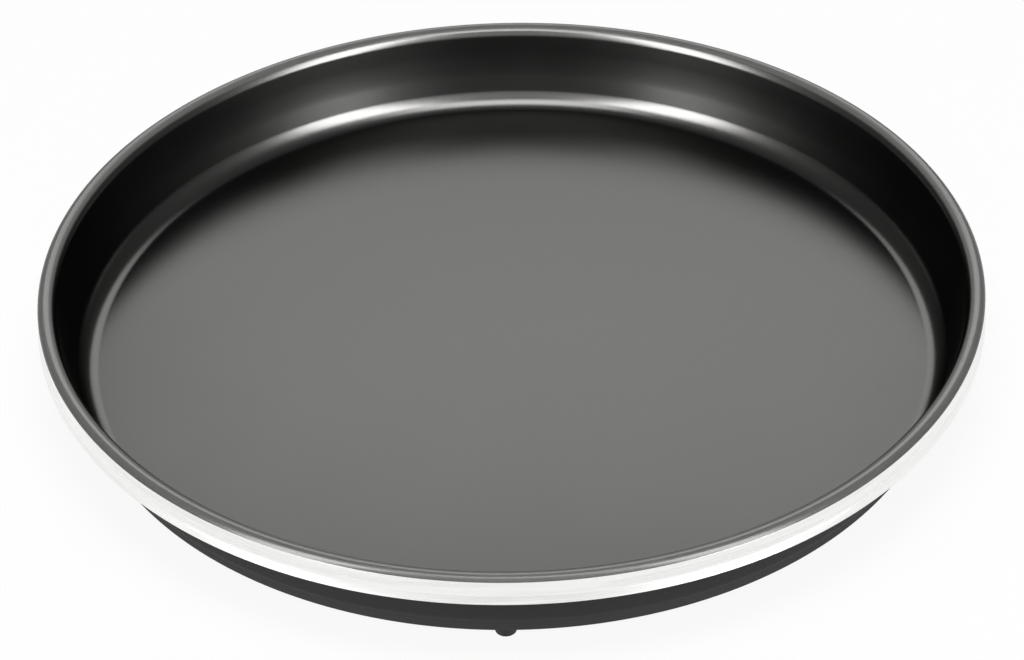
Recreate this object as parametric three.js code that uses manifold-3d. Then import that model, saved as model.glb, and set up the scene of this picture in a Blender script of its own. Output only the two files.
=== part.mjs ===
// Microwave crisp plate: a pressed metal dish with a turned-over rim, a non-stick lining inside,
// a dark coat outside, a ferrite-filled disc bonded underneath that heats up in the microwaves,
// and three silicone feet.
// Millimetres, +Z up. The origin is on the plate's axis, on the surface that the feet stand on.
import * as THREE from "three";
import { mergeVertices, toCreasedNormals } from "three/addons/utils/BufferGeometryUtils.js";
import Module from "manifold-3d";

// Plate over all
const RIM_DIAMETER = 305;
const PLATE_HEIGHT = 34.8;

// Pressed dish: a flat floor and a straight side, measured on the inside face of its sheet
const SHEET = 0.8;
const SIDE_DRAFT = THREE.MathUtils.degToRad(12.5);
const FLOOR_FILLET = 7.5;

// Rim: over the crown, down a skirt that tucks in to a waist, then out to a flared lip. The lip drops below
// the centre of the crown's outer bend, and reaches out past the lined crown.
const CROWN_INNER_RADIUS = 3.8;
const CROWN_OUTER_RADIUS = 2;
const SKIRT_TUCK = THREE.MathUtils.degToRad(4);
const WAIST_RADIUS = 2.4;
const WAIST_DROP = 4;
const LIP_DROP = 7.2;
const LIP_REACH = 0.55;

// Non-stick lining inside and over the crown, the coat outside, and the film that bonds the layers
const LINING = 0.1;
const OUTER_COAT = 0.1;
const BOND = 0.02;

// Ferrite disc moulded on under the floor
const FERRITE = 2.4;
const FERRITE_EDGE = 2;

// Feet: a round pad under the ferrite disc, with a spigot that plugs into a hole through it
const FOOT_HEIGHT = 3.4;
const FOOT_RADIUS = 3.3;
const FOOT_EDGE = 0.5;
const FOOT_INSET = 3.4;
const SPIGOT_RADIUS = 1.9;
const FIT_CLEARANCE = 0.3;

// Facets of a full turn, and of the bends in a section
const PLATE_FACETS = 84;
const FOOT_FACETS = 24;
const CORNER_FACETS = 4;
const RIM_FACETS = 3;

const metalMaterial = new THREE.MeshStandardMaterial({ color: 0xdcdcda, roughness: 0.2, metalness: 1 });
const liningMaterial = new THREE.MeshStandardMaterial({ color: 0x545452, roughness: 0.38, metalness: 0.7 });
const coatMaterial = new THREE.MeshStandardMaterial({ color: 0x2c2c2b, roughness: 0.55, metalness: 0 });
const ferriteMaterial = new THREE.MeshStandardMaterial({ color: 0x343433, roughness: 0.75, metalness: 0 });
const siliconeMaterial = new THREE.MeshStandardMaterial({ color: 0x191919, roughness: 0.6, metalness: 0 });

// Directions in the section, which lies in the radius and height plane
const UNDER = -Math.PI / 2;
const OVER = Math.PI / 2;
const INWARD = Math.PI;

function direction(angle) {
  return new THREE.Vector2(Math.cos(angle), Math.sin(angle));
}

function onAxis(height) {
  return new THREE.Vector2(0, height);
}

// The point at a given height on the line that lies reach out along a normal
function onLine(normal, reach, height) {
  return new THREE.Vector2((reach - normal.y * height) / normal.x, height);
}

// Points of a bend in the section, from one angle to another
function bend(centre, radius, from, to, facets) {
  return Array.from({ length: facets + 1 }, (_, i) => {
    const angle = from + ((to - from) * i) / facets;
    return direction(angle).multiplyScalar(radius).add(centre);
  });
}

// Heights of the bonded layers, from the feet up
const ferriteUnderside = FOOT_HEIGHT;
const ferriteTop = ferriteUnderside + FERRITE;
const coatUnderside = ferriteTop + BOND;
const dishUnderside = coatUnderside + OUTER_COAT + BOND;
const dishFloor = dishUnderside + SHEET;

// The crown's two bends meet at its top, and the side touches the inner one
const crownTop = PLATE_HEIGHT - LINING - BOND;
const rimRadius = RIM_DIAMETER / 2;
const crownRadius = rimRadius - LIP_REACH - LINING - BOND - CROWN_OUTER_RADIUS;
const crownInnerCentre = new THREE.Vector2(crownRadius, crownTop - CROWN_INNER_RADIUS);
const crownOuterCentre = new THREE.Vector2(crownRadius, crownTop - CROWN_OUTER_RADIUS);
const sideNormal = direction(-SIDE_DRAFT);
const sideReach = sideNormal.dot(crownInnerCentre) - CROWN_INNER_RADIUS;
const filletCentre = onLine(sideNormal, sideReach - FLOOR_FILLET, dishFloor + FLOOR_FILLET);

// The waist's bend touches the tucked skirt above it, and the lip runs from it to the rim's edge
const tuckNormal = direction(-SKIRT_TUCK);
const tuckReach = tuckNormal.dot(crownOuterCentre) + CROWN_OUTER_RADIUS;
const waistHeight = crownOuterCentre.y - WAIST_DROP;
const waistCentre = onLine(tuckNormal, tuckReach + WAIST_RADIUS, waistHeight);
const lipEnd = new THREE.Vector2(rimRadius, crownOuterCentre.y - LIP_DROP);
const lipToWaist = waistCentre.clone().sub(lipEnd);
const lipFlare = lipToWaist.angle() - Math.acos(WAIST_RADIUS / lipToWaist.length());

// Stretches of the section, each at a depth into the sheet from its inside face, from the floor to the lip.
// A depth below zero lies on the lining, and one beyond the sheet's thickness on the outer coat.
function floorFillet(depth) {
  return bend(filletCentre, FLOOR_FILLET + depth, UNDER, -SIDE_DRAFT, CORNER_FACETS);
}

function crownInner(depth) {
  const radius = CROWN_INNER_RADIUS - depth;
  return bend(crownInnerCentre, radius, INWARD - SIDE_DRAFT, OVER, RIM_FACETS);
}

function crownOuter(depth) {
  const radius = CROWN_OUTER_RADIUS - depth;
  return bend(crownOuterCentre, radius, OVER, -SKIRT_TUCK, CORNER_FACETS).slice(1);
}

function waistAndLip(depth) {
  const waist = bend(waistCentre, WAIST_RADIUS + depth, INWARD - SKIRT_TUCK, INWARD + lipFlare, RIM_FACETS);
  const end = lipEnd.clone().addScaledVector(direction(lipFlare), -depth);
  return [...waist, end];
}

// Sections run from the lowest point round to the highest
const dishSection = [
  onAxis(dishUnderside),
  ...floorFillet(SHEET),
  ...crownInner(SHEET),
  ...crownOuter(SHEET),
  ...waistAndLip(SHEET),
  ...waistAndLip(0).reverse(),
  ...crownOuter(0).reverse(),
  ...crownInner(0).reverse(),
  ...floorFillet(0).reverse(),
  onAxis(dishFloor),
];

// The lining ends at the foot of the crown, where the bare skirt begins
const liningBack = -BOND;
const liningFace = liningBack - LINING;
const liningSection = [
  onAxis(dishFloor - liningBack),
  ...floorFillet(liningBack),
  ...crownInner(liningBack),
  ...crownOuter(liningBack),
  ...crownOuter(liningFace).reverse(),
  ...crownInner(liningFace).reverse(),
  ...floorFillet(liningFace).reverse(),
  onAxis(dishFloor - liningFace),
];

// The outer coat covers the underside and the side, up under the crown
function coatedOutside(depth) {
  const top = onLine(sideNormal, sideReach + depth, crownInnerCentre.y);
  return [...floorFillet(depth), top];
}

const coatBack = SHEET + BOND;
const coatFace = coatBack + OUTER_COAT;
const coatSection = [
  onAxis(coatUnderside),
  ...coatedOutside(coatFace),
  ...coatedOutside(coatBack).reverse(),
  onAxis(dishFloor - coatBack),
];

// The ferrite disc follows the outer coat halfway round the dish's corner, and its lower edge is rounded
const ferriteBack = floorFillet(coatFace + BOND).slice(0, CORNER_FACETS / 2 + 1);
const ferriteRadius = ferriteBack.at(-1).x;
const ferriteEdgeCentre = new THREE.Vector2(ferriteRadius - FERRITE_EDGE, ferriteUnderside + FERRITE_EDGE);
const ferriteSection = [
  onAxis(ferriteUnderside),
  ...bend(ferriteEdgeCentre, FERRITE_EDGE, UNDER, 0, RIM_FACETS),
  ...ferriteBack.reverse(),
  onAxis(ferriteTop),
];

// The spigot stops short of the outer coat, and the pad's flat shoulder sits on the ferrite disc
const spigotTop = coatUnderside - FIT_CLEARANCE;
const soleCentre = new THREE.Vector2(FOOT_RADIUS - FOOT_EDGE, FOOT_EDGE);
const footSection = [
  onAxis(0),
  ...bend(soleCentre, FOOT_EDGE, UNDER, 0, RIM_FACETS),
  new THREE.Vector2(FOOT_RADIUS, ferriteUnderside),
  new THREE.Vector2(SPIGOT_RADIUS, ferriteUnderside),
  new THREE.Vector2(SPIGOT_RADIUS, spigotTop),
  onAxis(spigotTop),
];

function revolve(section, facets) {
  return new THREE.LatheGeometry(section, facets).rotateX(Math.PI / 2);
}

const wasm = await Module();
wasm.setup();

function toSolid(geometry) {
  const bare = geometry.clone();
  bare.deleteAttribute("normal");
  bare.deleteAttribute("uv");
  const merged = mergeVertices(bare);
  const vertProperties = merged.attributes.position.array;
  const triVerts = Uint32Array.from(merged.index.array);
  return new wasm.Manifold(new wasm.Mesh({ numProp: 3, vertProperties, triVerts }));
}

function toGeometry(solid) {
  const { vertProperties, triVerts } = solid.getMesh();
  const geometry = new THREE.BufferGeometry();
  geometry.setAttribute("position", new THREE.BufferAttribute(vertProperties, 3));
  geometry.setIndex(new THREE.BufferAttribute(triVerts, 1));
  return toCreasedNormals(geometry);
}

// The feet stand evenly round the outer edge of the flat underside, the first one at the front
const footCircle = ferriteEdgeCentre.x - FOOT_INSET;
const footNames = ["foot_front", "foot_back_right", "foot_back_left"];
const footPlaces = footNames.map((_, i) => {
  const place = direction(UNDER + (i * 2 * Math.PI) / footNames.length).multiplyScalar(footCircle);
  return new THREE.Vector3(place.x, place.y, 0);
});

// A hole for each spigot goes right through the ferrite disc
function ferriteWithHoles() {
  const holeRadius = SPIGOT_RADIUS + FIT_CLEARANCE;
  const drill = new THREE.CylinderGeometry(holeRadius, holeRadius, 2 * FERRITE, FOOT_FACETS);
  drill.rotateX(Math.PI / 2).translate(0, 0, (ferriteUnderside + ferriteTop) / 2);
  let solid = toSolid(revolve(ferriteSection, PLATE_FACETS));
  for (const place of footPlaces) {
    solid = solid.subtract(toSolid(drill.clone().translate(place.x, place.y, place.z)));
  }
  return toGeometry(solid);
}

function piece(name, geometry, material) {
  const mesh = new THREE.Mesh(geometry, material);
  mesh.name = name;
  return mesh;
}

const plate = new THREE.Group();
plate.add(piece("dish", revolve(dishSection, PLATE_FACETS), metalMaterial));
plate.add(piece("nonstick_lining", revolve(liningSection, PLATE_FACETS), liningMaterial));
plate.add(piece("outer_coat", revolve(coatSection, PLATE_FACETS), coatMaterial));
plate.add(piece("ferrite_disc", ferriteWithHoles(), ferriteMaterial));

const footGeometry = revolve(footSection, FOOT_FACETS);
footNames.forEach((name, i) => {
  const foot = piece(name, footGeometry, siliconeMaterial);
  foot.position.copy(footPlaces[i]);
  plate.add(foot);
});

export default plate;
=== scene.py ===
from math import cos, pi, radians, tan

import bmesh
import bpy
from bpy.props import FloatProperty, FloatVectorProperty, PointerProperty
from mathutils import Matrix, Vector


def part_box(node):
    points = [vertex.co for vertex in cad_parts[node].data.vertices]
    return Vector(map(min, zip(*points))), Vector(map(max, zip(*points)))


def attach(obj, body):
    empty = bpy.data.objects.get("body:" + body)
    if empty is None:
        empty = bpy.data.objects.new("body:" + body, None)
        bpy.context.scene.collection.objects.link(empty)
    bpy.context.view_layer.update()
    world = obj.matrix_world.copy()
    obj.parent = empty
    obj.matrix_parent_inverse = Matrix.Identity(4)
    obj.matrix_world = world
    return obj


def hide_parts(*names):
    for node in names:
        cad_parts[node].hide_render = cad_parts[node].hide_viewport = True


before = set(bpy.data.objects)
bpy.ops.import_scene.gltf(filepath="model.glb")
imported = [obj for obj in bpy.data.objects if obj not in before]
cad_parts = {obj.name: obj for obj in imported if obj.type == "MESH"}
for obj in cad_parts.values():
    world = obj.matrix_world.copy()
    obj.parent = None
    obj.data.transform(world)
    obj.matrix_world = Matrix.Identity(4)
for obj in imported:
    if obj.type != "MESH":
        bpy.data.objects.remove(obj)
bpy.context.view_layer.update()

bl_info = {
    "name": "Microwave crisp plate",
    "version": (1, 0, 0),
    "blender": (4, 5, 0),
    "location": "View3D > Sidebar > Crisp plate",
    "description": "Dresses the packed crisp plate: bright rim, non-stick lining, dark outside and feet",
    "category": "Object",
}

MM = 0.001

DISH_LOW, DISH_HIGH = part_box("dish")
LINING_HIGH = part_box("nonstick_lining")[1]
COAT_LOW, COAT_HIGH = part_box("outer_coat")
FERRITE_LOW, FERRITE_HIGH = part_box("ferrite_disc")
FEET = ("foot_front", "foot_back_right", "foot_back_left")

# Facets of a full turn of the plate and of a foot, of a bend in a section, and of a rounded cut edge
TURN_STEPS = 240
FOOT_STEPS = 64
BEND_STEPS = 12
EDGE_STEPS = 3

# Points closer than the merge gap are joined, faces that meet at more than the sharp angle keep an edge, and
# large flat faces lead the shading with this weight
MERGE_GAP = 0.001 * MM
SHARP_ANGLE = radians(35)
FLAT_FACE_WEIGHT = 90

# The lining's section is drawn this many outer bends below the crown's top and then cut off at its reach
LINING_OVERRUN = 1.2

# Length of the drill for a spigot's hole, in heights of a foot
DRILL_LENGTH = 4

FLUOROPOLYMER_IOR = 1.35
SILICONE_IOR = 1.41

# Half the table's width in metres, and the shares of plain white that the table and the room show to the
# camera and in mirror images
TABLE_REACH = 4
TABLE_SEEN = 0.92
TABLE_MIRRORED = 0.7
ROOM_SEEN = 1.0
ROOM_MIRRORED = 0.08

# Turn from the front and elevation in degrees, then distance, width and depth in metres
SOFTBOXES = {
    "Left softbox": (-47, 30, 1.4, 0.56, 1.6),
    "Right softbox": (47, 30, 1.4, 0.56, 1.6),
    "Front softbox": (0, 30, 1.6, 2.0, 1.0),
    "Top softbox": (0, 75, 1.4, 0.8, 0.6),
    "Back softbox": (180, 35, 1.6, 0.85, 0.62),
}


def linear(code):
    """Linear RGBA of an sRGB hex colour."""
    channels = [int(code[i : i + 2], 16) / 255 for i in (1, 3, 5)]
    return (*[c / 12.92 if c <= 0.04045 else ((c + 0.055) / 1.055) ** 2.4 for c in channels], 1.0)


def length(name, description, millimetres):
    """A length property, given in millimetres and kept in metres."""
    return FloatProperty(
        name=name, description=description, default=millimetres * MM, unit="LENGTH", precision=5
    )


def angle(name, description, degrees):
    """An angle property, given in degrees and kept in radians."""
    return FloatProperty(name=name, description=description, default=radians(degrees), subtype="ANGLE")


def tone(name, description, code):
    """A colour property, given as sRGB hex and kept linear."""
    return FloatVectorProperty(
        name=name, description=description, default=linear(code), size=4, subtype="COLOR", min=0, max=1
    )


class PlateSizes(bpy.types.PropertyGroup):
    """Sizes of the plate's section that the frame's boxes don't give"""

    sheet: length("Sheet", "Thickness of the pressed sheet", 0.8)
    side_draft: angle("Side draft", "Lean of the side from upright", 12.5)
    side_bow: angle("Side bow", "How much more the side leans at its foot, and less at its crown", 3.5)
    side_bend: length("Side bend", "Radius of the side's slight bow", 80)
    floor_fillet: length("Floor fillet", "Inside radius where the floor turns up into the side", 7.5)
    crown_inner: length("Crown inner bend", "Radius of the crown's bend towards the well", 3.8)
    crown_outer: length("Crown outer bend", "Radius of the crown's bend towards the skirt", 2)
    skirt_tuck: angle("Skirt tuck", "How far the skirt leans in below the crown", 4)
    waist_bend: length("Waist bend", "Radius of the skirt's waist", 2.4)
    waist_drop: length("Waist drop", "Waist below the crown's top", 6.3)
    lip_drop: length("Lip drop", "Lip's edge below the crown's top", 9.2)
    lip_edge: length("Lip edge", "Rounding of the lip's cut edge", 0.25)
    lining: length("Lining", "Thickness of the non-stick lining", 0.1)
    lining_reach: length("Lining reach", "End of the lining outside the crown's top", 2)
    film: length("Film", "Film that bonds the layers", 0.02)
    ferrite_edge: length("Ferrite lower edge", "Rounding of the ferrite disc's lower edge", 2)
    sole_edge: length("Sole edge", "Rounding of a foot's sole", 0.5)
    spigot: length("Spigot", "Radius of the spigot on a foot", 1.9)
    spigot_gap: length("Spigot gap", "Clearance round a spigot in its hole", 0.3)


class PlateFinishes(bpy.types.PropertyGroup):
    """Colours of the plate's finishes"""

    bare_steel: tone("Bare steel", "Polished sheet on the turned-down rim", "#F4F4F2")
    lining: tone("Lining", "Metallic-pigmented non-stick coat", "#484847")
    outer_coat: tone("Outer coat", "Matt black coat on the outside", "#090909")
    ferrite: tone("Ferrite silicone", "Ferrite-filled silicone of the disc", "#101010")
    foot: tone("Foot silicone", "Black silicone of the feet", "#0C0C0C")


class StageSettings(bpy.types.PropertyGroup):
    """Camera and lamps"""

    lens: FloatProperty(name="Lens", description="Focal length in millimetres", default=124.33)
    distance: length("Distance", "From the aim point to the camera", 1152.5)
    elevation: angle("Elevation", "Camera above the horizon", 36.772)
    turn: angle("Turn", "Camera round the plate from its front", 1.55)
    roll: angle("Roll", "Camera about its own axis", -1.194)
    aim_height: length("Aim height", "Height of the aim point on the plate's axis", 10.75)
    side_power: FloatProperty(name="Side lamps", description="Power of each side lamp in watts", default=58)
    front_power: FloatProperty(name="Front lamp", description="Power of the front lamp in watts", default=9)
    top_power: FloatProperty(name="Top lamp", description="Power of the lamp overhead in watts", default=14.5)
    back_power: FloatProperty(name="Back lamp", description="Power of the lamp behind in watts", default=7.1)
    room: FloatProperty(name="Room", description="Strength of the room's even light", default=0.16)


def add(tree, kind, inputs=None, **settings):
    """Adds a node with its settings; inputs are values, or the sockets that feed them."""
    node = tree.nodes.new(kind)
    for name, value in settings.items():
        setattr(node, name, value)
    for name, value in (inputs or {}).items():
        if isinstance(value, bpy.types.NodeSocket):
            tree.links.new(value, node.inputs[name])
        else:
            node.inputs[name].default_value = value
    return node


def new_material(name):
    """An empty material and its node tree."""
    material = bpy.data.materials.new(name)
    material.use_nodes = True
    material.node_tree.nodes.clear()
    return material, material.node_tree


def nonstick_coat(finishes):
    """Fluoropolymer non-stick coat with metallic pigment, sprayed and baked."""
    # Dark grey with a satin metallic gloss: soft mirror images that darken at a grazing angle, a faint orange
    # peel and flakes of pigment. The flakes are drawn coarser than the real ones, which are too fine to show.
    # The crown's top is painted paler and made hardly metallic: a painted sheen for the light it catches.
    orange_peel = 1.8 * MM
    flakes = 0.6 * MM
    spray_clouds = 45 * MM
    # Radii where the crown's painted sheen starts and where it is full, and how metallic the crown is under
    # it
    crown_sheen_from = LINING_HIGH.x - 5.1 * MM
    crown_sheen_full = LINING_HIGH.x - 4.3 * MM
    crown_sheen_metallic = 0.15
    grazing_tint = linear("#585858")
    material, tree = new_material("Nonstick metallic coat")
    place = add(tree, "ShaderNodeTexCoord").outputs["Object"]
    peel = add(tree, "ShaderNodeTexNoise", {"Vector": place, "Scale": 1 / orange_peel, "Detail": 1.0})
    flake = add(tree, "ShaderNodeTexNoise", {"Vector": place, "Scale": 1 / flakes, "Detail": 2.0})
    cloud = add(tree, "ShaderNodeTexNoise", {"Vector": place, "Scale": 1 / spray_clouds, "Detail": 3.0})
    mottle = add(tree, "ShaderNodeMath", {0: flake.outputs["Fac"], 1: cloud.outputs["Fac"]}, operation="ADD")
    value = add(
        tree,
        "ShaderNodeMapRange",
        {"Value": mottle.outputs[0], "From Min": 0.6, "From Max": 1.4, "To Min": 0.95, "To Max": 1.05},
    )
    level = add(tree, "ShaderNodeVectorMath", {0: place, 1: (1, 1, 0)}, operation="MULTIPLY")
    radius = add(tree, "ShaderNodeVectorMath", {0: level.outputs[0]}, operation="LENGTH")
    # Painted sheen: the crown's top is painted paler and made hardly metallic
    painted_crown_sheen = add(
        tree,
        "ShaderNodeMapRange",
        {"Value": radius.outputs["Value"], "From Min": crown_sheen_from, "From Max": crown_sheen_full},
        interpolation_type="SMOOTHSTEP",
    )
    paler = add(tree, "ShaderNodeMath", {0: painted_crown_sheen.outputs[0], 1: value.outputs[0]}, operation="ADD")
    metal = add(
        tree,
        "ShaderNodeMath",
        {0: painted_crown_sheen.outputs[0], 1: crown_sheen_metallic - 1.0, 2: 1.0},
        operation="MULTIPLY_ADD",
    )
    colour = add(tree, "ShaderNodeHueSaturation", {"Color": finishes.lining, "Value": paler.outputs[0]})
    gloss = add(
        tree,
        "ShaderNodeMapRange",
        {"Value": cloud.outputs["Fac"], "From Min": 0.3, "From Max": 0.7, "To Min": 0.245, "To Max": 0.27},
    )
    bump = add(
        tree, "ShaderNodeBump", {"Height": peel.outputs["Fac"], "Strength": 0.12, "Distance": 0.05 * MM}
    )
    shader = add(
        tree,
        "ShaderNodeBsdfPrincipled",
        {
            "Base Color": colour.outputs[0],
            "Metallic": metal.outputs[0],
            "Roughness": gloss.outputs[0],
            "Specular Tint": grazing_tint,
            "Normal": bump.outputs[0],
        },
    )
    add(tree, "ShaderNodeOutputMaterial", {"Surface": shader.outputs[0]})
    return material


def polished_steel(finishes):
    """Aluminised steel sheet, spun and polished."""
    # Bright and mirror-like, with duller streaks and fine lines that run round the rim where it was polished.
    # The lines are drawn coarser than the real ones, which are too fine to show.
    streak_length = 40 * MM
    streak_width = 1.5 * MM
    polish_lines = 0.35 * MM
    material, tree = new_material("Polished aluminised steel")
    place = add(tree, "ShaderNodeTexCoord").outputs["Object"]
    across = (1 / streak_length, 1 / streak_length, 1 / streak_width)
    along = add(tree, "ShaderNodeVectorMath", {0: place, 1: across}, operation="MULTIPLY")
    streak = add(tree, "ShaderNodeTexNoise", {"Vector": along.outputs[0], "Scale": 1.0, "Detail": 3.0})
    height = add(tree, "ShaderNodeSeparateXYZ", {0: place})
    lines = add(
        tree,
        "ShaderNodeTexNoise",
        {"W": height.outputs["Z"], "Scale": 1 / polish_lines, "Detail": 2.0},
        noise_dimensions="1D",
    )
    gloss = add(
        tree,
        "ShaderNodeMapRange",
        {"Value": streak.outputs["Fac"], "From Min": 0.4, "From Max": 0.65, "To Min": 0.12, "To Max": 0.3},
    )
    value = add(
        tree,
        "ShaderNodeMapRange",
        {"Value": streak.outputs["Fac"], "From Min": 0.45, "From Max": 0.7, "To Min": 1.0, "To Max": 0.86},
    )
    colour = add(tree, "ShaderNodeHueSaturation", {"Color": finishes.bare_steel, "Value": value.outputs[0]})
    bump = add(
        tree, "ShaderNodeBump", {"Height": lines.outputs["Fac"], "Strength": 0.1, "Distance": 0.02 * MM}
    )
    shader = add(
        tree,
        "ShaderNodeBsdfPrincipled",
        {
            "Base Color": colour.outputs[0],
            "Metallic": 1.0,
            "Roughness": gloss.outputs[0],
            "Normal": bump.outputs[0],
        },
    )
    add(tree, "ShaderNodeOutputMaterial", {"Surface": shader.outputs[0]})
    return material


def black_coat(finishes):
    """Black fluoropolymer coat, sprayed thin and baked."""
    # Near black and almost matt, with a fine sprayed grain that breaks up its faint sheen.
    grain = 0.7 * MM
    patches = 25 * MM
    material, tree = new_material("Matt black fluoropolymer coat")
    place = add(tree, "ShaderNodeTexCoord").outputs["Object"]
    fine = add(tree, "ShaderNodeTexNoise", {"Vector": place, "Scale": 1 / grain, "Detail": 2.0})
    patch = add(tree, "ShaderNodeTexNoise", {"Vector": place, "Scale": 1 / patches, "Detail": 3.0})
    value = add(
        tree,
        "ShaderNodeMapRange",
        {"Value": patch.outputs["Fac"], "From Min": 0.3, "From Max": 0.7, "To Min": 0.85, "To Max": 1.15},
    )
    colour = add(tree, "ShaderNodeHueSaturation", {"Color": finishes.outer_coat, "Value": value.outputs[0]})
    gloss = add(
        tree,
        "ShaderNodeMapRange",
        {"Value": fine.outputs["Fac"], "From Min": 0.3, "From Max": 0.7, "To Min": 0.62, "To Max": 0.78},
    )
    bump = add(
        tree, "ShaderNodeBump", {"Height": fine.outputs["Fac"], "Strength": 0.2, "Distance": 0.03 * MM}
    )
    shader = add(
        tree,
        "ShaderNodeBsdfPrincipled",
        {
            "Base Color": colour.outputs[0],
            "Roughness": gloss.outputs[0],
            "IOR": FLUOROPOLYMER_IOR,
            "Normal": bump.outputs[0],
        },
    )
    add(tree, "ShaderNodeOutputMaterial", {"Surface": shader.outputs[0]})
    return material


def ferrite_silicone(finishes):
    """Silicone rubber filled with ferrite powder, moulded on."""
    # Dark grey and matt, with the filler's grains showing as faint lighter specks in the moulded skin.
    grains = 0.8 * MM
    skin = 3 * MM
    material, tree = new_material("Ferrite-filled silicone")
    place = add(tree, "ShaderNodeTexCoord").outputs["Object"]
    speck = add(tree, "ShaderNodeTexVoronoi", {"Vector": place, "Scale": 1 / grains})
    moulded = add(tree, "ShaderNodeTexNoise", {"Vector": place, "Scale": 1 / skin, "Detail": 4.0})
    value = add(
        tree,
        "ShaderNodeMapRange",
        {
            "Value": speck.outputs["Distance"],
            "From Min": 0.05,
            "From Max": 0.3,
            "To Min": 1.5,
            "To Max": 0.95,
        },
    )
    colour = add(tree, "ShaderNodeHueSaturation", {"Color": finishes.ferrite, "Value": value.outputs[0]})
    gloss = add(
        tree,
        "ShaderNodeMapRange",
        {"Value": moulded.outputs["Fac"], "From Min": 0.3, "From Max": 0.7, "To Min": 0.6, "To Max": 0.78},
    )
    bump = add(
        tree, "ShaderNodeBump", {"Height": moulded.outputs["Fac"], "Strength": 0.25, "Distance": 0.1 * MM}
    )
    shader = add(
        tree,
        "ShaderNodeBsdfPrincipled",
        {
            "Base Color": colour.outputs[0],
            "Roughness": gloss.outputs[0],
            "IOR": SILICONE_IOR,
            "Normal": bump.outputs[0],
        },
    )
    add(tree, "ShaderNodeOutputMaterial", {"Surface": shader.outputs[0]})
    return material


def foot_silicone(finishes):
    """Black silicone rubber, compression moulded."""
    # Black with a dull sheen and a fine moulded texture, a little dustier in patches.
    texture = 0.5 * MM
    dust = 2 * MM
    dull = 0.6
    material, tree = new_material("Black silicone")
    place = add(tree, "ShaderNodeTexCoord").outputs["Object"]
    fine = add(tree, "ShaderNodeTexNoise", {"Vector": place, "Scale": 1 / texture, "Detail": 2.0})
    dusty = add(tree, "ShaderNodeTexNoise", {"Vector": place, "Scale": 1 / dust, "Detail": 3.0})
    value = add(
        tree,
        "ShaderNodeMapRange",
        {"Value": dusty.outputs["Fac"], "From Min": 0.4, "From Max": 0.8, "To Min": 1.0, "To Max": 1.6},
    )
    colour = add(tree, "ShaderNodeHueSaturation", {"Color": finishes.foot, "Value": value.outputs[0]})
    bump = add(
        tree, "ShaderNodeBump", {"Height": fine.outputs["Fac"], "Strength": 0.2, "Distance": 0.04 * MM}
    )
    shader = add(
        tree,
        "ShaderNodeBsdfPrincipled",
        {
            "Base Color": colour.outputs[0],
            "Roughness": dull,
            "IOR": SILICONE_IOR,
            "Normal": bump.outputs[0],
        },
    )
    add(tree, "ShaderNodeOutputMaterial", {"Surface": shader.outputs[0]})
    return material


def draw_section(bm, corners):
    """A wire through (radius, height, bend) corners, with each corner between its ends bent to its radius."""
    points = [Vector((radius, 0, height)) for radius, height, _ in corners]
    verts = [bm.verts.new(point) for point in points]
    for pair in zip(verts, verts[1:]):
        bm.edges.new(pair)
    for i in range(1, len(corners) - 1):
        turn = (points[i] - points[i - 1]).angle(points[i + 1] - points[i])
        bmesh.ops.bevel(
            bm,
            geom=[verts[i]],
            offset=corners[i][2] * tan(turn / 2),
            offset_type="OFFSET",
            segments=BEND_STEPS,
            profile=0.5,
            affect="VERTICES",
            clamp_overlap=True,
            material=-1,
        )


def spin_section(bm, steps):
    """Spins the wire round the upright axis into a closed or open skin, with its poles merged."""
    bmesh.ops.spin(
        bm,
        geom=bm.verts[:] + bm.edges[:],
        axis=(0, 0, 1),
        cent=(0, 0, 0),
        angle=2 * pi,
        steps=steps,
        use_merge=True,
    )
    bmesh.ops.remove_doubles(bm, verts=bm.verts[:], dist=MERGE_GAP)
    bmesh.ops.recalc_face_normals(bm, faces=bm.faces[:])


def thicken(bm, thickness):
    """Gives an open cup its thickness, away from the side that faces the well."""
    floor = min(bm.faces, key=lambda face: face.calc_center_median().xy.length)
    if floor.normal.z < 0:
        bmesh.ops.reverse_faces(bm, faces=bm.faces[:])
    bmesh.ops.solidify(bm, geom=bm.faces[:], thickness=thickness)


def sharp_edges(bm):
    """Edges between faces that meet at more than the sharp angle."""
    return [edge for edge in bm.edges if edge.is_manifold and edge.calc_face_angle() > SHARP_ANGLE]


def make_piece(bm, node, material):
    """An object of the finished mesh that stands for a CAD node and rides with the plate."""
    for face in bm.faces:
        face.smooth = True
    for edge in sharp_edges(bm):
        edge.smooth = False
    mesh = bpy.data.meshes.new(node + "_finished")
    bm.to_mesh(mesh)
    bm.free()
    mesh.materials.append(material)
    piece = bpy.data.objects.new(node + "_finished", mesh)
    bpy.context.scene.collection.objects.link(piece)
    weighted = piece.modifiers.new("Flat faces lead the shading", "WEIGHTED_NORMAL")
    weighted.weight = FLAT_FACE_WEIGHT
    weighted.keep_sharp = True
    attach(piece, "root")
    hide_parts(node)
    return piece


def crown_radius(sizes):
    """Radius of the circle along the crown's top, where its two bends meet."""
    return LINING_HIGH.x - sizes.lining - sizes.film - sizes.crown_outer


def tangent(lean, radius, height, reach):
    """A leaning line at a reach from a point, as its radius at height zero and its slope."""
    return radius - height * tan(lean) + reach / cos(lean), tan(lean)


def upper_side(sizes, depth):
    """Line of the side below the crown, at a depth into the sheet from its inside face."""
    lean = sizes.side_draft - sizes.side_bow
    return tangent(lean, crown_radius(sizes), DISH_HIGH.z - sizes.crown_inner, depth - sizes.crown_inner)


def lower_side(sizes, depth):
    """Line of the side above the floor's fillet, which is placed by a straight side."""
    height = DISH_LOW.z + sizes.sheet + sizes.floor_fillet
    reach = -sizes.crown_inner - sizes.floor_fillet
    base, slope = tangent(sizes.side_draft, crown_radius(sizes), DISH_HIGH.z - sizes.crown_inner, reach)
    lean = sizes.side_draft + sizes.side_bow
    return tangent(lean, base + slope * height, height, depth + sizes.floor_fillet)


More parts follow.
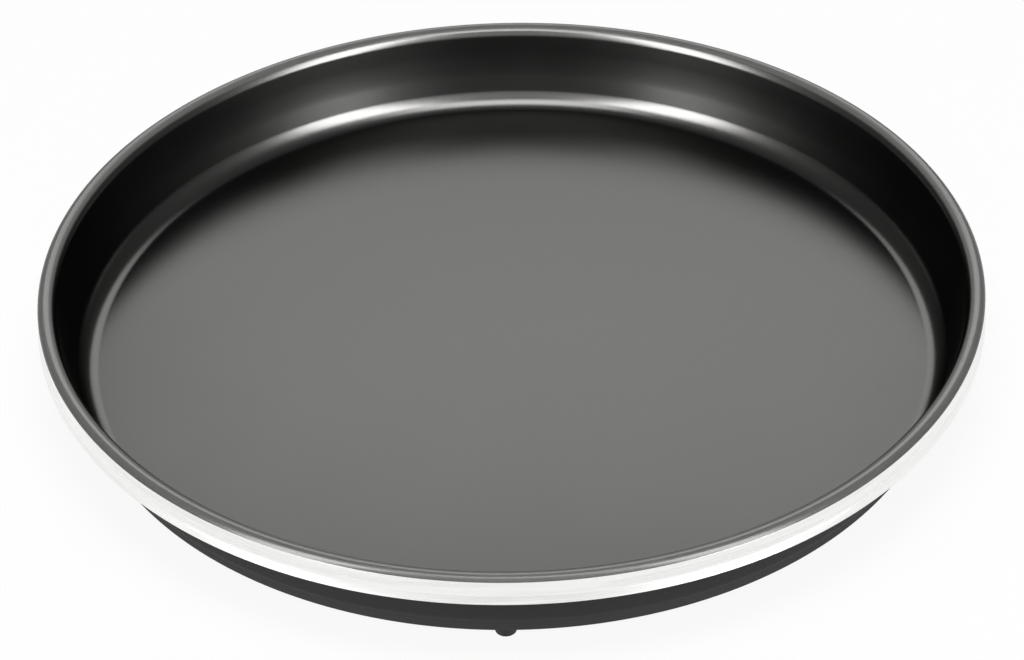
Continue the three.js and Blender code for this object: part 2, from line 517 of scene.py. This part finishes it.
def skirt_radius(sizes, height, depth):
    """Radius of the tucked skirt at a height, at a depth into the sheet from its outer face."""
    at_top = crown_radius(sizes) + sizes.crown_outer * tan((pi / 2 + sizes.skirt_tuck) / 2)
    return at_top - (DISH_HIGH.z - height) * tan(sizes.skirt_tuck) - depth / cos(sizes.skirt_tuck)


def well_corners(sizes, depth):
    """Corners of the section from the axis, round the floor's fillet and up to the side's bow."""
    floor = DISH_LOW.z + sizes.sheet - depth
    foot, foot_slope = lower_side(sizes, depth)
    top, top_slope = upper_side(sizes, depth)
    bow = (top - foot) / (foot_slope - top_slope)
    return [
        (0, floor, 0),
        (foot + foot_slope * floor, floor, sizes.floor_fillet + depth),
        (foot + foot_slope * bow, bow, sizes.side_bend + depth),
    ]


def side_end(sizes, height, depth):
    """The corner where the section leaves off on the upper side."""
    base, slope = upper_side(sizes, depth)
    return base + slope * height, height, 0


def crown_corners(sizes, depth):
    """Corners of the section over the crown."""
    top = DISH_HIGH.z - depth
    base, slope = upper_side(sizes, depth)
    return [
        (base + slope * top, top, sizes.crown_inner - depth),
        (skirt_radius(sizes, top, depth), top, sizes.crown_outer - depth),
    ]


class PLATE_OT_dish(bpy.types.Operator):
    """Turn the pressed dish, with its crown, waisted skirt and flared lip"""

    bl_idname = "plate.dish"
    bl_label = "Dish"

    def execute(self, context):
        sizes = context.scene.plate_sizes
        waist = DISH_HIGH.z - sizes.waist_drop
        bm = bmesh.new()
        draw_section(
            bm,
            [
                *well_corners(sizes, 0),
                *crown_corners(sizes, 0),
                (skirt_radius(sizes, waist, 0), waist, sizes.waist_bend),
                (DISH_HIGH.x, DISH_HIGH.z - sizes.lip_drop, 0),
            ],
        )
        spin_section(bm, TURN_STEPS)
        thicken(bm, sizes.sheet)
        bmesh.ops.bevel(
            bm,
            geom=sharp_edges(bm),
            offset=sizes.lip_edge,
            offset_type="OFFSET",
            segments=EDGE_STEPS,
            profile=0.5,
            affect="EDGES",
            clamp_overlap=True,
            material=-1,
        )
        make_piece(bm, "dish", polished_steel(context.scene.plate_finishes))
        return {"FINISHED"}


class PLATE_OT_lining(bpy.types.Operator):
    """Turn the non-stick lining, over the crown to the start of the bare rim"""

    bl_idname = "plate.lining"
    bl_label = "Non-stick lining"

    def execute(self, context):
        sizes = context.scene.plate_sizes
        depth = -sizes.film - sizes.lining
        below = DISH_HIGH.z - LINING_OVERRUN * sizes.crown_outer
        bm = bmesh.new()
        draw_section(
            bm,
            [
                *well_corners(sizes, depth),
                *crown_corners(sizes, depth),
                (skirt_radius(sizes, below, depth), below, 0),
            ],
        )
        bmesh.ops.bisect_plane(
            bm,
            geom=bm.verts[:] + bm.edges[:],
            plane_co=(crown_radius(sizes) + sizes.lining_reach, 0, 0),
            plane_no=(1, 0, 0),
            clear_outer=True,
        )
        spin_section(bm, TURN_STEPS)
        thicken(bm, sizes.lining)
        make_piece(bm, "nonstick_lining", nonstick_coat(context.scene.plate_finishes))
        return {"FINISHED"}


class PLATE_OT_outer_coat(bpy.types.Operator):
    """Turn the black coat on the underside and the outside of the side"""

    bl_idname = "plate.outer_coat"
    bl_label = "Outer coat"

    def execute(self, context):
        sizes = context.scene.plate_sizes
        depth = sizes.sheet + sizes.film
        thickness = DISH_LOW.z - sizes.film - COAT_LOW.z
        bm = bmesh.new()
        draw_section(bm, [*well_corners(sizes, depth), side_end(sizes, COAT_HIGH.z, depth)])
        spin_section(bm, TURN_STEPS)
        thicken(bm, thickness)
        make_piece(bm, "outer_coat", black_coat(context.scene.plate_finishes))
        return {"FINISHED"}


def drill_hole(disc, node, radius):
    """Cuts the hole for a foot's spigot right through the ferrite disc."""
    low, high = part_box(node)
    middle = (low + high) / 2
    bm = bmesh.new()
    bmesh.ops.create_cone(
        bm,
        cap_ends=True,
        segments=FOOT_STEPS,
        radius1=radius,
        radius2=radius,
        depth=DRILL_LENGTH * (high.z - low.z),
    )
    bmesh.ops.translate(bm, verts=bm.verts[:], vec=middle)
    mesh = bpy.data.meshes.new("drill")
    bm.to_mesh(mesh)
    bm.free()
    drill = bpy.data.objects.new("drill", mesh)
    bpy.context.scene.collection.objects.link(drill)
    cut = disc.modifiers.new("Spigot hole", "BOOLEAN")
    cut.object = drill
    with bpy.context.temp_override(object=disc):
        bpy.ops.object.modifier_move_to_index(modifier=cut.name, index=0)
        bpy.ops.object.modifier_apply(modifier=cut.name)
    bpy.data.meshes.remove(mesh)


class PLATE_OT_ferrite_disc(bpy.types.Operator):
    """Turn the ferrite-filled disc under the floor and cut the holes for the feet"""

    bl_idname = "plate.ferrite_disc"
    bl_label = "Ferrite disc"

    def execute(self, context):
        sizes = context.scene.plate_sizes
        depth = sizes.sheet + DISH_LOW.z - COAT_LOW.z + sizes.film
        bm = bmesh.new()
        draw_section(bm, [*well_corners(sizes, depth), side_end(sizes, COAT_HIGH.z, depth)])
        bmesh.ops.bisect_plane(
            bm,
            geom=bm.verts[:] + bm.edges[:],
            plane_co=(0, 0, FERRITE_HIGH.z),
            plane_no=(0, 0, 1),
            clear_outer=True,
        )
        edge = max(vert.co.x for vert in bm.verts)
        draw_section(
            bm,
            [(edge, FERRITE_HIGH.z, 0), (edge, FERRITE_LOW.z, sizes.ferrite_edge), (0, FERRITE_LOW.z, 0)],
        )
        spin_section(bm, TURN_STEPS)
        disc = make_piece(bm, "ferrite_disc", ferrite_silicone(context.scene.plate_finishes))
        for node in FEET:
            drill_hole(disc, node, sizes.spigot + sizes.spigot_gap)
        return {"FINISHED"}


class PLATE_OT_feet(bpy.types.Operator):
    """Turn the silicone feet, each a pad with a spigot, and set them in place"""

    bl_idname = "plate.feet"
    bl_label = "Feet"

    def execute(self, context):
        sizes = context.scene.plate_sizes
        material = foot_silicone(context.scene.plate_finishes)
        for node in FEET:
            low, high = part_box(node)
            middle = (low + high) / 2
            radius = (high.x - low.x) / 2
            bm = bmesh.new()
            draw_section(
                bm,
                [
                    (0, low.z, 0),
                    (radius, low.z, sizes.sole_edge),
                    (radius, FERRITE_LOW.z, 0),
                    (sizes.spigot, FERRITE_LOW.z, 0),
                    (sizes.spigot, high.z, 0),
                    (0, high.z, 0),
                ],
            )
            spin_section(bm, FOOT_STEPS)
            bmesh.ops.translate(bm, verts=bm.verts[:], vec=(middle.x, middle.y, 0))
            make_piece(bm, node, material)
        return {"FINISHED"}


def white_share(tree, seen, mirrored):
    """How much plain white the backdrop shows: one share to the camera, and one to mirror and glass rays."""
    path = add(tree, "ShaderNodeLightPath")
    bounced = add(
        tree,
        "ShaderNodeMath",
        {0: path.outputs["Is Glossy Ray"], 1: path.outputs["Is Transmission Ray"]},
        operation="MAXIMUM",
    )
    mirror = add(tree, "ShaderNodeMath", {0: bounced.outputs[0], 1: mirrored}, operation="MULTIPLY")
    share = add(
        tree,
        "ShaderNodeMath",
        {0: path.outputs["Is Camera Ray"], 1: seen, 2: mirror.outputs[0]},
        operation="MULTIPLY_ADD",
    )
    return share.outputs[0]


def white_floor():
    """Matt white table: near white to the camera, a little greyer in mirror images, with a faint shadow."""
    material, tree = new_material("Matt white table")
    matt = add(tree, "ShaderNodeBsdfDiffuse", {"Color": linear("#E6E6E6")})
    glow = add(tree, "ShaderNodeEmission", {"Color": linear("#FFFFFF"), "Strength": 1.0})
    share = white_share(tree, TABLE_SEEN, TABLE_MIRRORED)
    mix = add(tree, "ShaderNodeMixShader", {0: share, 1: matt.outputs[0], 2: glow.outputs[0]})
    add(tree, "ShaderNodeOutputMaterial", {"Surface": mix.outputs[0]})
    return material


def studio_world(scene):
    """White to the camera. To the plate it is a dim even room, a little whiter in mirror images."""
    world = bpy.data.worlds.new("Studio")
    scene.world = world
    world.use_nodes = True
    tree = world.node_tree
    tree.nodes.clear()
    room = add(tree, "ShaderNodeBackground", {"Color": linear("#FFFFFF"), "Strength": scene.plate_stage.room})
    white = add(tree, "ShaderNodeBackground", {"Color": linear("#FFFFFF"), "Strength": 1.0})
    share = white_share(tree, ROOM_SEEN, ROOM_MIRRORED)
    mix = add(tree, "ShaderNodeMixShader", {0: share, 1: room.outputs[0], 2: white.outputs[0]})
    add(tree, "ShaderNodeOutputWorld", {"Surface": mix.outputs[0]})


def softbox(name, power):
    """A soft rectangular lamp that faces the plate, with its place and size from the table of softboxes."""
    turn, elevation, distance, width, depth = SOFTBOXES[name]
    lamp = bpy.data.lights.new(name, "AREA")
    lamp.shape = "RECTANGLE"
    lamp.size = width
    lamp.size_y = depth
    lamp.energy = power
    holder = bpy.data.objects.new(name, lamp)
    holder.matrix_world = around_plate(radians(turn), radians(elevation), distance)
    bpy.context.scene.collection.objects.link(holder)
    return holder


def around_plate(turn, elevation, distance, aim_height=0.0, roll=0.0):
    """The placing of a lamp or camera that looks at a point on the plate's axis."""
    return (
        Matrix.Translation((0, 0, aim_height))
        @ Matrix.Rotation(turn, 4, "Z")
        @ Matrix.Rotation(pi / 2 - elevation, 4, "X")
        @ Matrix.Translation((0, 0, distance))
        @ Matrix.Rotation(roll, 4, "Z")
    )


class PLATE_OT_stage(bpy.types.Operator):
    """Set the table, lamps, world and camera"""

    bl_idname = "plate.stage"
    bl_label = "Stage"

    def execute(self, context):
        scene = context.scene
        stage = scene.plate_stage
        bm = bmesh.new()
        bmesh.ops.create_grid(bm, x_segments=1, y_segments=1, size=TABLE_REACH)
        mesh = bpy.data.meshes.new("table")
        bm.to_mesh(mesh)
        bm.free()
        mesh.materials.append(white_floor())
        table = bpy.data.objects.new("table", mesh)
        scene.collection.objects.link(table)

        studio_world(scene)
        # The side lamps only draw the gloss, because they would overlight the table
        left = softbox("Left softbox", stage.side_power)
        right = softbox("Right softbox", stage.side_power)
        left.visible_diffuse = right.visible_diffuse = False
        softbox("Front softbox", stage.front_power)
        softbox("Top softbox", stage.top_power)
        softbox("Back softbox", stage.back_power)

        lens = bpy.data.cameras.new("Camera")
        lens.lens = stage.lens
        camera = bpy.data.objects.new("Camera", lens)
        camera.matrix_world = around_plate(
            stage.turn, stage.elevation, stage.distance, stage.aim_height, stage.roll
        )
        scene.collection.objects.link(camera)
        scene.camera = camera
        scene.view_settings.view_transform = "Standard"
        return {"FINISHED"}


class PLATE_PT_sidebar(bpy.types.Panel):
    """Steps, sizes and finishes of the crisp plate"""

    bl_label = "Crisp plate"
    bl_idname = "PLATE_PT_sidebar"
    bl_space_type = "VIEW_3D"
    bl_region_type = "UI"
    bl_category = "Crisp plate"

    def draw(self, context):
        for step in STEPS:
            self.layout.operator(step.bl_idname)
        scene = context.scene
        for group in (scene.plate_sizes, scene.plate_finishes, scene.plate_stage):
            box = self.layout.box()
            for name in group.__annotations__:
                box.prop(group, name)


STEPS = (
    PLATE_OT_dish,
    PLATE_OT_lining,
    PLATE_OT_outer_coat,
    PLATE_OT_ferrite_disc,
    PLATE_OT_feet,
    PLATE_OT_stage,
)
CLASSES = (PlateSizes, PlateFinishes, StageSettings, *STEPS, PLATE_PT_sidebar)


def register():
    for cls in CLASSES:
        bpy.utils.register_class(cls)
    bpy.types.Scene.plate_sizes = PointerProperty(type=PlateSizes)
    bpy.types.Scene.plate_finishes = PointerProperty(type=PlateFinishes)
    bpy.types.Scene.plate_stage = PointerProperty(type=StageSettings)


def unregister():
    del bpy.types.Scene.plate_stage
    del bpy.types.Scene.plate_finishes
    del bpy.types.Scene.plate_sizes
    for cls in reversed(CLASSES):
        bpy.utils.unregister_class(cls)


def main():
    register()
    bpy.ops.plate.dish()
    bpy.ops.plate.lining()
    bpy.ops.plate.outer_coat()
    bpy.ops.plate.ferrite_disc()
    bpy.ops.plate.feet()
    bpy.ops.plate.stage()


if __name__ == "__main__":
    main()
